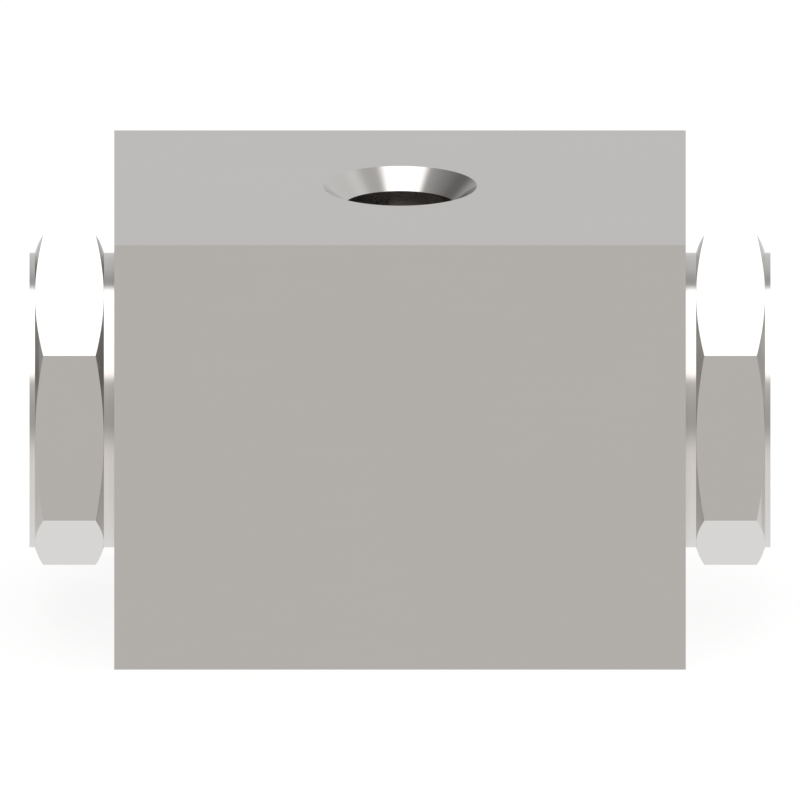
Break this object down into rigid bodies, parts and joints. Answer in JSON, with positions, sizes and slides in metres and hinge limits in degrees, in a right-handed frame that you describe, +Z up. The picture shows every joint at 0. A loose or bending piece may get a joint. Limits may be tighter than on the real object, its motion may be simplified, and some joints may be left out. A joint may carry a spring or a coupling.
{
  "type": "shuttle valve",
  "caption": "Square metal block with a countersunk threaded outlet on top, hexagon inlet adaptors screwed into both ends, and a sliding shuttle inside.",
  "frame": {"origin": "middle of the block's flat underside, which is also the bottom centre of the bounding box", "axes": "+X along the shared axis of the two inlets, towards the right inlet; +Z up, out of the outlet port; -Y is the front, the side that the picture shows"},
  "size_m": [0.0752, 0.045, 0.0446],
  "materials": {
    "body_steel": "stainless steel, finely ground and polished almost to a mirror",
    "working_steel": "hardened stainless steel, turned and ground",
    "seal_rubber": "black fluorocarbon rubber, moulded, slightly oiled",
    "disc_rubber": "brown polyurethane rubber, moulded and faced",
    "backup_plastic": "white fluoropolymer, turned",
    "seat_plastic": "natural high-temperature polymer, turned",
    "ring_plastic": "bronze-filled fluoropolymer, turned"
  },
  "bodies": {
    "valve": {"valve_block": "body_steel", "left_end_adaptor": "body_steel", "right_end_adaptor": "body_steel", "left_adaptor_o_ring": "seal_rubber", "right_adaptor_o_ring": "seal_rubber", "left_backup_ring": "backup_plastic", "right_backup_ring": "backup_plastic", "left_seat_ring": "seat_plastic", "right_seat_ring": "seat_plastic", "left_seat_o_ring": "seal_rubber", "right_seat_o_ring": "seal_rubber", "shuttle_cage": "working_steel", "left_cage_o_ring": "seal_rubber", "right_cage_o_ring": "seal_rubber"},
    "shuttle": {"shuttle_core": "working_steel", "piston_energiser": "seal_rubber", "piston_ring": "ring_plastic", "left_seal_disc": "disc_rubber", "right_seal_disc": "disc_rubber", "left_disc_cap": "working_steel", "right_disc_cap": "working_steel"}
  },
  "joints": [
    {"name": "shuttle_slide", "type": "slide", "parent": "valve", "child": "shuttle", "axis": [1, 0, 0], "range_m": [0, 0.0084]}
  ]
}
